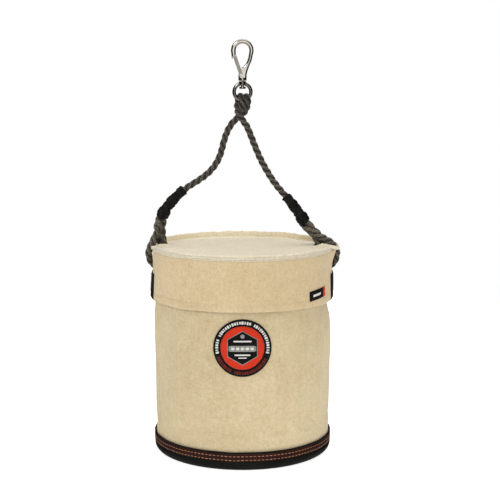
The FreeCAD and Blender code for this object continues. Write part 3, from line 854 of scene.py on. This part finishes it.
# ================= canvas wall =================
class Settled:
    """A ring of cloth, pinned at some of its rows, a little too large for its frame, and left to settle."""

    def __init__(self, point_at, rows, columns, pinned, growth, gravity, stiffness):
        self.rows, self.columns = rows, columns
        places = [point_at(i / (rows - 1), TAU * j / columns) for i in range(rows) for j in range(columns)]
        self.moves = [Vector() for _ in places]
        cloth = new_object("settling", places, grid_faces(rows, columns, False, True), CANVAS)
        pins = cloth.vertex_groups.new(name="pins")
        pins.add([i * columns + j for i in pinned for j in range(columns)], 1.0, "REPLACE")
        modifier = cloth.modifiers.new("Cloth", "CLOTH")
        settings = modifier.settings
        settings.quality = 5
        settings.mass = 0.25
        settings.tension_stiffness = settings.compression_stiffness = 40
        settings.shear_stiffness = 20
        settings.bending_stiffness = stiffness
        settings.vertex_group_mass = "pins"
        settings.shrink_min = -growth
        settings.effector_weights.gravity = gravity
        modifier.collision_settings.use_collision = False
        scene = bpy.context.scene
        for frame_number in range(1, SETTLING_FRAMES + 1):
            scene.frame_set(frame_number)
        still = cloth.evaluated_get(bpy.context.evaluated_depsgraph_get()).to_mesh()
        self.moves = [v.co - place for v, place in zip(still.vertices, places)]
        scene.frame_set(1)
        bpy.data.objects.remove(cloth)

    def at(self, share, angle):
        """How far the cloth moved, between its rows and columns."""
        row = min(1.0, max(0.0, share)) * (self.rows - 1)
        column = (angle % TAU) / TAU * self.columns
        i, j = min(int(row), self.rows - 2), int(column) % self.columns
        near, far = (
            self.moves[start + j].lerp(self.moves[start + (j + 1) % self.columns], column - int(column))
            for start in (i * self.columns, (i + 1) * self.columns))
        return near.lerp(far, row - i)

    def outward(self, share, angle, most, least):
        """The move away from the axis, eased so that it stays between two limits."""
        move = self.at(share, angle)
        out = move.x * cos(angle) + move.y * sin(angle)
        limit = most if out > 0 else least
        return limit * tanh(out / limit)


def wall_ring(share, angle):
    return on_cylinder(WALL_R, angle, BAND_Z + (RIM_Z - BAND_Z) * share)


WALL_CLOTH = Settled(wall_ring, 42, 168, (0, 40, 41), 0.006, 1.0, 3.0)


def corner_arc(radius, steps, centre_r, rising=False):
    """Points of the rounded lower corner, from the wall down to the floor, or back up."""
    angles = [FRONT * k / steps for k in range(steps + 1)]
    points = [(centre_r + radius * cos(a), CORNER_R + radius * sin(a)) for a in angles]
    return points[::-1] if rising else points


def wall_shape(angle, r, z):
    """Soft upright wrinkles and dents, none behind the leather band or at the rim."""
    if z < BAND_Z:
        return r, z
    free = smoothstep(z, BAND_Z, 0.075) * (1 - 0.75 * smoothstep(z, SKIRT_Z - 0.03, SKIRT_Z + 0.01))
    calm = 1 - 0.8 * bell(z, PATCH_Z, 0.085) * bell(aside(angle, FRONT), 0, 0.42)
    folds = 0.0025 * ripple(angle, z, 3.0, 7.0, 2.2) + 0.0009 * ripple(angle, z, 9.0, 19.0, 7.0)
    sag = 0.0017 * ripple(angle, z, 5.0, 1.7, 5.5)
    right, left = aside(angle, 0), aside(angle, pi)
    fullness = 0.0034 * bell(z, 0.195, 0.085) * bell(right, 0, 0.55)
    fullness += 0.0016 * bell(z, 0.21, 0.09) * bell(left, 0, 0.55)
    tuck = 0.006 * bell(z, 0.277, 0.024) * bell(right, -0.1, 0.34)
    settled = WALL_CLOTH.outward((z - BAND_Z) / (RIM_Z - BAND_Z), angle, 0.0022, 0.003)
    lean = -0.001 * cos(angle)
    return r + free * ((folds + sag + settled) * calm + lean + fullness - 0.0006) - tuck, z


def make_wall():
    foot_r, inner_r = BAND_R - CORNER_R, WALL_R - WALL_T
    heights = [RIM_Z - (RIM_Z - CORNER_R) * k / 120 for k in range(121)]
    outer = [(WALL_R, z) for z in heights] + corner_arc(WALL_R - foot_r, 5, foot_r)[1:]
    inner = corner_arc(inner_r - foot_r, 5, foot_r, True)[:-1] + [(inner_r, z) for z in heights[::-1]]
    steps = 288
    wall = revolved("canvas_wall", outer + inner, CANVAS, steps=steps, shape=wall_shape)
    wall.data.materials.append(LINING)
    for polygon in wall.data.polygons:
        polygon.material_index = min(polygon.vertices) // steps >= len(outer)
    return attach(wall, "root", "canvas", "bucket_wall")


wall = make_wall()


def make_side_seam():
    """Flat-felled seam up the left side, with two rows of stitches."""
    middle, half = pi + radians(16), 0.0068 / WALL_R
    bottom, tall = BAND_Z - 0.002, RIM_Z - BAND_Z - 0.001

    def place(layer, v, u):
        angle, z = middle + half * (2 * u - 1), bottom + tall * v
        crown = 0.0011 * min(1.0, 6 * min(u, 1 - u)) + 0.0002 * sin(z * 900)
        r = wall_shape(angle, WALL_R, z)[0]
        return on_cylinder(r + (crown if layer else -0.0004), angle, z), (angle * WALL_R, z)

    attach(layered("side_seam", 90, 9, place, CANVAS), "root", "canvas", "wall_side_seam")
    for side, offset in (("a", -0.0044), ("b", 0.0044)):
        def row(share):
            angle, z = middle + offset / WALL_R, bottom + tall * share
            return wall_shape(angle, WALL_R + 0.0009, z)[0], angle, z
        stitches(f"side_seam_thread_{side}", row, STITCH_PITCH, 0.00042, SAND_THREAD, "root")


def make_hem():
    """The rim's hem, turned in round the hoop and sewn along its lower edge."""
    inner_r = WALL_R - WALL_T
    profile = in_mm(inner_r, RIM_Z, (-0.3, 0), (-3, 0.1), (-5.2, -1.6), (-5.8, -6), (-5.6, -12), (-3.6, -16.5),
                    (-2.2, -22), (-2, -33), (-2.1, -43), (-1.2, -44.2), (-0.3, -43.5), (-0.3, -20))

    def shape(angle, r, z):
        return r + 0.0003 * ripple(angle, z, 2.0, 16.0, 30.0), z

    attach(revolved("rim_hem_sleeve", profile, LINING, steps=240, shape=shape), "root", "canvas", "rim_hem")
    for row, down in (("upper", 0.0205), ("lower", 0.0405)):
        stitches(f"hem_thread_{row}", lambda share: (inner_r - 0.0022, TAU * share, RIM_Z - down), 0.0048,
                 STITCH_R, SAND_THREAD, "root", inward=True)


make_side_seam()
make_hem()


# ================= leather bottom =================
def make_leather():
    """Moulded boot: a smooth lower wall that turns under, and a brown welt sewn on its top."""
    foot_r, inner_r = BAND_R - CORNER_R, WALL_R + 0.0003

    def boot_shape(angle, r, z):
        return (r + 0.0004 * ripple(angle, z, 1.0, 6.0, 20.0) if z > 0.006 else r), z

    def welt_shape(angle, r, z):
        return r + 0.0004 * ripple(angle, z, 4.0, 9.0, 25.0), z + 0.0007 * ripple(angle, 0, 6.0, 5.0, 1.0)

    boot = in_mm(BAND_R, BAND_Z, (-0.6, -12.5), (-0.3, -16.5)) + [(BAND_R, CORNER_R + 0.004)]
    boot += corner_arc(CORNER_R, 9, foot_r) + corner_arc(inner_r - foot_r, 7, foot_r, True)
    boot += in_mm(inner_r, BAND_Z, (0, -12.5))
    attach(revolved("leather_boot", boot, BLACK_LEATHER, steps=240, shape=boot_shape), "root", "leather",
           "leather_band")
    welt = in_mm(inner_r, BAND_Z, (0.4, -0.6), (1.2, 0))
    welt += in_mm(BAND_R, BAND_Z, (-1, 0), (-0.1, -1), (0.3, -4.5), (0.3, -11.5), (0.2, -14.5), (-0.6, -15.5))
    welt += in_mm(inner_r, BAND_Z, (1.2, -15.5), (0.4, -14.5))
    attach(revolved("leather_welt", welt, BROWN_LEATHER, steps=288, shape=welt_shape), "root", "leather")
    lip = in_mm(BAND_R, BAND_Z, (0.1, -1), (0.6, 0.6), (0, 1.5))
    lip += in_mm(inner_r, BAND_Z, (1, 1.4), (0.3, 0.4), (0.6, -0.8))
    attach(revolved("welt_edge", lip, BLACK_LEATHER, steps=288, shape=welt_shape), "root", "leather")
    for row, down in (("upper", 0.0056), ("lower", 0.0124)):
        place = seam_line(welt_shape, BAND_R + 0.0003, BAND_Z - down)
        stitches(f"welt_thread_{row}", place, 0.0072, 0.00048, SALMON_THREAD, "root")


make_leather()
paint(BLACK_LEATHER, "leather_sole")
paint(PLASTIC, "floor_board", "rim_hoop")
paint(LINING, "floor_panel")
paint(EYELET, "grommet_left", "grommet_right", "grommet_washer_left", "grommet_washer_right")
paint(NICKEL, "hook_body", "swivel_rivet", "gate_rivet")
# The swivel eye and gate take the darkened nickel: painted shade.
paint(SHADED_NICKEL, "swivel_eye", "gate")
paint(LOOP_CLOTH, "loop_patch_left", "loop_patch_right")


# ================= lid =================
def skirt_ring(share, angle):
    return on_cylinder(SKIRT_R, angle, SKIRT_Z + (LID_Z - SKIRT_Z) * share)


def lid_ring(share, angle):
    return on_cylinder(max(0.004, SKIRT_R * share), angle, LID_Z)


SKIRT_CLOTH = Settled(skirt_ring, 14, 168, (12, 13), 0.008, 1.0, 2.0)
LID_CLOTH = Settled(lid_ring, 26, 120, (25,), 0.006, -0.6, 1.0)


def skirt_shape(angle, r, z):
    """The hanging skirt: it flares and waves a little towards its lower edge."""
    down = 1 - smoothstep(z, SKIRT_Z, LID_Z)
    waves = 0.0011 * ripple(angle, z, 8.0, 4.5, 4.0) + 0.0005 * ripple(angle, z, 12.0, 13.0, 10.0)
    swing = (waves if waves > 0 else waves * 0.35) * down
    right, left = aside(angle, 0), aside(angle, pi)
    flare = 0.0011 * down**2 + 0.0024 * bell(left, 0.12, 0.22) * down**1.5 - 0.0014 * abs(cos(angle)) ** 12 * down
    tip = 0.0075 * bell(right, -0.07, 0.075) + 0.0015 * bell(left, 0.07, 0.075)
    tip *= smoothstep(z, 0.338, LID_Z)
    lifted = 0.0042 * bell(aside(angle, FRONT), 0.12, 0.2) * down**3
    hang = 0.0014 * ripple(angle, 0.0, 20.0, 3.0, 1.0) * down + lifted * 0.45
    settled = SKIRT_CLOTH.outward((z - SKIRT_Z) / (LID_Z - SKIRT_Z), angle, 0.0026, 0.0004)
    return r + flare + swing + tip + settled + lifted, z + hang


def skirt_profile():
    """Outer and inner faces of the skirt, doubled over in a hem at its lower edge."""
    top, hem_z, steps = LID_Z - 0.0024, SKIRT_Z + 0.013, 44
    heights = [top - (top - hem_z - 0.001) * k / steps for k in range(steps + 1)]
    hem = in_mm(SKIRT_R, SKIRT_Z, (0, 13), (0.1, 1.5), (-0.7, 0), (-1.7, 0.3), (-1.8, 13))
    return [(SKIRT_R - 0.0004, z) for z in heights] + hem + [(SKIRT_R - 0.0012, z) for z in heights[::-1]]


def make_skirt(name, body, start, node):
    """Half of the skirt as one sheet, cut away round the rope at both ends."""
    half_slit = SLIT / SKIRT_R
    begin, turn = start + half_slit, pi - 2 * half_slit

    def twist(share, z):
        back_off = smoothstep(z, NOTCH_Z - 0.004, NOTCH_Z + 0.004) * (NOTCH_HALF / SKIRT_R - half_slit)
        return back_off * (max(0.0, 1 - share * 14) - max(0.0, 1 - (1 - share) * 14))

    skirt = revolved(name, skirt_profile(), SKIRT_CANVAS, begin, turn, 200, skirt_shape, twist, SKIRT_R)
    attach(skirt, body, "lid_canvas", node)
    for row, up, thread_r in (("hem", 0.0105, 0.00042), ("edge", 0.0035, 0.00036)):
        place = seam_line(skirt_shape, SKIRT_R, SKIRT_Z + up, begin, turn, 0.02)
        stitches(f"{name}_{row}_thread", place, STITCH_PITCH, thread_r, SAND_THREAD, body)
    return skirt


front_skirt = make_skirt("skirt_front", "lid_flap", pi, "lid_front_skirt")
rear_skirt = make_skirt("skirt_rear", "root", 0.0, "lid_rear_skirt")


def crest(x):
    """How far back the raised part of the lid reaches at this x."""
    return 0.093 * sqrt(max(0.0, 1 - (x / 0.166) ** 2)) - 0.0165


def lid_height(x, y):
    """The top rises to a crest between its two points, then falls away to the rear seam."""
    half, top = sqrt(max(0.0, SKIRT_R**2 - x * x)), crest(x)
    across = max(0.0, 1 - (x / (SKIRT_R * 1.02)) ** 2)
    if y < top:
        share = (y + half) / max(1e-4, top + half)
        rise = 0.0052 * sin(pi / 2 * min(1.0, max(0.0, share)) ** 0.8)
    else:
        behind = (y - top) / max(1e-4, half - top)
        rise = 0.0052 - 0.0052 * smoothstep(behind, 0.02, 0.7)
        rise -= 0.004 * bell(atan2(y, x), 0.62, 0.22) * smoothstep(behind, 0.2, 0.8)
    seam = 0.0011 * bell(y, top, 0.0035)
    fan = 0.0022 * (x / SKIRT_R) ** 4 * sin(atan2(y + 0.0165, max(0.02, SKIRT_R * 1.06 - abs(x))) * 17.0)
    soft = 0.0016 * lumps(x * 11, y * 11, 4.0) + 0.0007 * lumps(x * 34, y * 34, 8.0)
    r = hypot(x, y) / SKIRT_R
    soft += 0.0024 * tanh(LID_CLOTH.at(r, atan2(y, x)).z / 0.0024)
    valley = 0.0016 * bell(r * SKIRT_R, SKIRT_R - 0.0085, 0.0035) * (y < 0)
    return LID_Z - 0.0004 + (rise + seam) * across**0.6 + (fan + soft) * (1 - r**6) - valley


def clear_of_rope(x, y):
    """Draws the edge of the sheet back round the rope, at both sides."""
    inner_x = 0.1308 if x > 0 else 0.1345
    if abs(x) <= inner_x or abs(y) >= NOTCH_HALF + 0.004:
        return x, y
    depth = 1 - smoothstep(abs(y), NOTCH_HALF - 0.003, NOTCH_HALF + 0.004)
    return copysign(abs(x) - (abs(x) - inner_x) * depth, x), y


def make_lid_top():
    """One round sheet over the whole mouth, notched for the rope."""
    def place(layer, v, u):
        r = (SKIRT_R - 0.0004) * v
        x, y = clear_of_rope(r * cos(TAU * u), r * sin(TAU * u))
        return (x, y, lid_height(x, y) - LID_T * layer), (x, y)

    # The lid's top takes the paler lid copy of the canvas: painted light.
    top = layered("lid_top", 46, 240, place, LIT_LID_CANVAS, wrap=True)
    # Faces behind the crest take the palest rear copy of the canvas: painted light.
    top.data.materials.append(LIT_REAR_CANVAS)
    for polygon in top.data.polygons:
        middle = polygon.center
        polygon.material_index = middle.y > max(0, crest(middle.x) + 0.002)
    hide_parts("lid_front_panel", "lid_rear_panel")
    return top


lid_top = make_lid_top()


def make_ridge(name, body, from_side, high_z, material, curled, node):
    """The edge seam: two layers pinched together and sewn, standing up round the lid."""
    start = radians(from_side) + (0 if curled else pi)
    sweep = pi - 2 * radians(from_side)
    r, low_z = SKIRT_R - 0.0003, LID_Z
    height = high_z - low_z

    def shape(angle, r, z):
        up = (z - low_z) / height
        wave = 0.0012 * ripple(angle, 0.0, 15.0, 6.0, 1.0) + 0.0006 * ripple(angle, 0.0, 25.0, 19.0, 1.0)
        ends = min(1.0, 0.45 + min(abs(angle - start), abs(start + sweep - angle)) * 5)
        curl = 0.0085 * bell(angle, 0.62, 0.22) * curled
        taller = ends * (1 + 0.1 * ripple(angle, 0, 33.0, 9.0, 1.0))
        return r + up * (wave - 0.0008) - max(0.0, up) ** 1.5 * curl, low_z + (z - low_z) * taller - 0.0002

    profile = in_mm(r, low_z, (-0.4, -2.6), (-2, -1.2), (-1.8, 0.1), (0.6, 0.8))
    profile += [(r + out / 1000, low_z + height * share) for out, share in (
        (1.1, 0.22), (-0.3, 0.34), (-0.8, 0.52), (-0.1, 0.7), (0.5, 0.86), (0, 0.97), (-1.2, 1), (-2.6, 0.95),
        (-3, 0.6), (-3.4, 0.2))]
    profile += in_mm(r, low_z, (-4.4, 0.6), (-6, 0.1), (-6, -1.2), (-2.5, -3))
    attach(revolved(name, profile, material, start, sweep, 220, shape), body, "lid_canvas", node)
    for row, back, rise in (("", 0.0007, 0.52), ("_inner", 0.0032, 0.3)):
        place = seam_line(shape, r - back, low_z + height * rise, start, sweep, 0.01)
        stitches(f"{name}{row}_thread", place, STITCH_PITCH, STITCH_R, SAND_THREAD, body, inward=bool(row))


# The front seam takes the paler ridge copy of the canvas: painted highlight.
make_ridge("seam_front", "lid_flap", 11, FRONT_SEAM_Z, HIGHLIT_RIDGE_CANVAS, False, "lid_front_ridge")
# The rear seam takes the palest rear copy of the canvas: painted light.
make_ridge("seam_rear", "root", 4.5, REAR_SEAM_Z, LIT_REAR_CANVAS, True, "lid_rear_ridge")


def make_corner(side, sign, tip_x):
    """The pinched point of the edge seam in front of the rope."""
    rows, ring = 16, 14
    verts, uvs = [], []
    for i in range(rows + 1):
        share = i / rows
        x, y = sign * (0.117 + (tip_x - 0.117) * share), -0.015 - 0.0015 * share
        low = LID_Z - 0.0068 + 0.0062 * share**2.5
        high = LID_Z + 0.003 + 0.0062 * smoothstep(share, 0.0, 0.5) - 0.004 * share**2 - 0.0009 * sin(share * 9)
        thick = 0.0031 * (1 - 0.55 * share) + 0.0004 * sin(share * 14)
        for k in range(ring):
            angle = TAU * k / ring
            pinch = thick * (1.25 - 0.75 * (0.5 + 0.5 * sin(angle)))
            z = (low + high) / 2 + (high - low) / 2 * sin(angle)
            fray = 0.0004 * lumps(i * 0.9, k * 1.3, sign * 5.0)
            verts.append((x + fray, y + pinch * cos(angle), z + fray))
            uvs.append((x, z))
    # The point takes the paler ridge copy of the canvas: painted highlight.
    corner = close(new_object(f"lid_point_{side}", verts, rod_faces(rows + 1, ring), HIGHLIT_RIDGE_CANVAS, uvs))
    attach(corner, "root", "lid_canvas", f"lid_corner_{side}")


def make_frayed_threads():
    """Loose threads where the right point of the seam has frayed."""
    def drawn(*limits):
        return Vector([RNG.uniform(*limit) for limit in limits])

    threads = []
    for k in range(9):
        start = Vector((0.1725, -0.0165, 0.3765)) + drawn((-0.003, 0.003), (-0.0015, 0.0015), (-0.002, 0.002))
        away = drawn((0.1, 1.0), (-0.4, 0.4), (-0.3, 1.0)).normalized()
        length = RNG.uniform(0.003, 0.0075)
        bend = Vector((0, RNG.uniform(-0.3, 0.3), RNG.uniform(-0.5, 0.2)))
        line = [start + away * length * t / 6 + bend * length * (t / 6) ** 2 for t in range(7)]
        threads.append(tube(f"fray_{k}", line, lambda share, angle: 0.00032 * (1.2 - share * 0.7), PALE_THREAD, 6))
    attach(joined("lid_point_fray", threads), "root")


make_corner("left", -1, 0.1655)
make_corner("right", 1, 0.1765)
make_frayed_threads()


# ================= closure tabs, patches and tag =================
def curved_strip(name, radius_at, start, sweep, z0, z1, thickness, material, seed, columns=28, rows=18):
    """A thin closed strip that follows radius_at(angle, z), with softly rounded edges."""
    def place(layer, v, u):
        angle, z = start + sweep * u, z0 + (z1 - z0) * v
        rim = min(1.0, 7 * min(u, 1 - u, v, 1 - v) + 0.35)
        lift = thickness * rim * layer + 0.0003 * ripple(angle, z, seed, 30.0, 60.0)
        return on_cylinder(radius_at(angle, z) + lift, angle, z), (angle * WALL_R, z)
    return layered(name, rows, columns, place, material)


def make_tab(side, sign):
    """Hook strip sewn to the front skirt, lying across the slit under the rope."""
    low, high = (corner[2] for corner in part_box(f"closure_tab_{side}"))
    front, sweep = radians(-15.5), radians(20.5)
    start = front if sign > 0 else pi - front - sweep

    def radius_at(angle, z):
        cloth = skirt_shape(angle, SKIRT_R, z)[0] + 0.0004
        return cloth if sin(angle) < -0.06 else max(cloth, (SKIRT_R + 0.0012) / abs(cos(angle)))

    tab = curved_strip(f"tab_{side}", radius_at, start, sweep, low, high, 0.0016, BLACK_CLOTH, 2.0 + sign)
    attach(tab, "lid_flap", "closure", f"closure_tab_{side}")
    inset = 0.0032
    begin = start + inset / SKIRT_R + (0 if sign > 0 else sweep * 0.38)
    width, height = sweep * 0.62 * SKIRT_R - 2 * inset, high - low - 2 * inset

    def outline(share):
        """A place on the rectangle that is sewn to the skirt."""
        at = (share % 1.0) * 2 * (width + height)
        x = min(at, width) - min(max(at - width - height, 0.0), width)
        up = min(max(at - width, 0.0), height) - max(at - 2 * width - height, 0.0)
        angle, z = begin + x / SKIRT_R, low + inset + up
        return radius_at(angle, z) + 0.0016, angle, z
    stitches(f"tab_{side}_thread", outline, 0.0036, STITCH_R, BLACK_THREAD, "lid_flap")


make_tab("left", -1)
make_tab("right", 1)


def on_wall(x, z, lift):
    """Radius, angle and height on the front of the wall, at a sideways distance along the cloth."""
    angle = FRONT + x / WALL_R
    return wall_shape(angle, WALL_R, z)[0] + lift, angle, z


def cloth_on_wall(name, outline, lift, thickness, material, rings=7, columns=72, middle=(0, 0), inner_r=0.0):
    """A piece of cloth on the wall, round a middle (x, z).

    outline(angle) is how far it reaches. An outline that is a number makes a disc with rounded edges, or a ring.
    """
    disc = not callable(outline)

    def place(layer, v, u):
        angle = TAU * u
        r = inner_r + ((outline if disc else outline(angle)) - inner_r) * v
        edge = min(1.0, 0.3 + 5 * min(1 - v, v if inner_r else 1.0)) if disc else 1.0
        x, z = middle[0] + r * cos(angle), PATCH_Z + middle[1] + r * sin(angle)
        return on_cylinder(*on_wall(x, z, lift + thickness * edge * layer)), (x, z)
    return layered(name, rings, columns, place, material, True, inner_r > 0)


def hexagon(reach):
    """Outline of a hexagon with a point at its top, as a distance from its middle."""
    half = pi / 6
    return lambda angle: reach * cos(half) / cos((angle - half) % (2 * half) - half)


def oblong(half_x, half_z, turn=0.0):
    """Outline of an oblong, turned by an angle, as a distance from its middle."""
    def reach(angle):
        x, z = abs(cos(angle - turn)), abs(sin(angle - turn))
        return min(half_x / max(1e-6, x), half_z / max(1e-6, z))
    return reach


def make_patch():
    """Round patch: black border with pale dashes, a red disc and a plain hex nut sign."""
    disc = cloth_on_wall("patch_disc", PATCH_R, 0.0003, 0.0011, RED_CLOTH, 14, 120)
    border = cloth_on_wall("patch_ring", BORDER_R, 0.0003, 0.0012, BLACK_CLOTH, 10, 120, inner_r=PATCH_R + 0.0002)
    rim = cloth_on_wall("patch_rim", BORDER_R, 0.0011, 0.0009, BLACK_CLOTH, 6, 120, inner_r=BORDER_R - 0.0021)
    dashes = []
    middle_r = (PATCH_R + BORDER_R) / 2
    for k in range(64):
        if k % 16 == 12 or k in (35, 61):
            continue
        a = TAU * k / 64
        wide, tall = 0.0011 + 0.00035 * ((k * 5) % 3), 0.0028 - 0.0005 * ((k * 7) % 2)
        dashes.append(cloth_on_wall(f"dash_{k}", oblong(tall, wide, a), 0.0014, 0.0003,
                                    DIM_RED_CLOTH if 36 <= k <= 60 else PALE_CLOTH, 2, 24,
                                    (middle_r * cos(a), middle_r * sin(a))))
    sign = [cloth_on_wall("sign", outline, lift, 0.0002, cloth, middle=(0, z)) for outline, lift, cloth, z in (
        (hexagon(0.03), 0.0013, GREY_CLOTH, 0), (hexagon(0.0287), 0.0015, BLACK_CLOTH, 0),
        (oblong(0.0236, 0.0052), 0.0017, GREY_CLOTH, -0.001), (oblong(0.016, 0.0013), 0.0017, PALE_CLOTH, 0.0118),
        (oblong(0.0135, 0.0013), 0.0017, PALE_CLOTH, -0.0122),
        (oblong(0.0072, 0.0009), 0.0017, PALE_CLOTH, -0.0172))]
    for k in range(5):
        sign.append(cloth_on_wall("pip", oblong(0.0027, 0.0022), 0.0019, 0.0002, PALE_CLOTH, 3, 24,
                                  (-0.0164 + 0.0082 * k, -0.001)))
    sign.append(cloth_on_wall("nut_small", hexagon(0.004), 0.0017, 0.0003, GREY_CLOTH, 3, 36, (0, 0.0205)))
    attach(disc, "root", "patch_red", "front_patch")
    attach(border, "root", "patch_black", "patch_border")
    for piece in (rim, joined("patch_dashes", dashes), joined("patch_sign", sign)):
        attach(piece, "root", "patch_black")

    def edge(share):
        angle, r = TAU * share, BORDER_R - 0.0034
        return on_wall(r * cos(angle), PATCH_Z + r * sin(angle), 0.0015)
    stitches("patch_thread", edge, 0.0026, 0.00034, BLACK_THREAD, "root")


def make_tag():
    """Folded woven tag on the skirt: black, with a red end and one pale bar."""
    low, high = (corner[2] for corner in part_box("side_tag"))
    start, sweep = radians(-45), radians(17.5)
    slope, middle_x = 0.15, 0.131

    def radius_at(angle, z):
        return skirt_shape(angle, SKIRT_R, z)[0] + 0.0002

    black = curved_strip("tag_black", radius_at, start, sweep * 0.83, low, high, 0.0009, BLACK_CLOTH, 6.0)
    red = curved_strip("tag_red", radius_at, start + sweep * 0.83, sweep * 0.17, low, high, 0.0009, RED_CLOTH,
                       6.0, 8)
    bar = curved_strip("tag_bar", lambda a, z: radius_at(a, z) + 0.0007, start + sweep * 0.17, sweep * 0.46,
                       low + 0.0062, high - 0.0068, 0.0004, PALE_CLOTH, 6.0, 16, 6)
    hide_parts("side_tag")
    for piece in (black, red, bar):
        for vertex in piece.data.vertices:
            vertex.co.z += slope * (vertex.co.x - middle_x)
        attach(piece, "lid_flap", "patch_red" if piece is red else "patch_black")


make_patch()
make_tag()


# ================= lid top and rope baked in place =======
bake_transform(lid_top)
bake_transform(rope)
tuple(ROPE_ROUTE[0])
round(line_length(rope_line), 3)
[tuple(p) for p in rope_line]
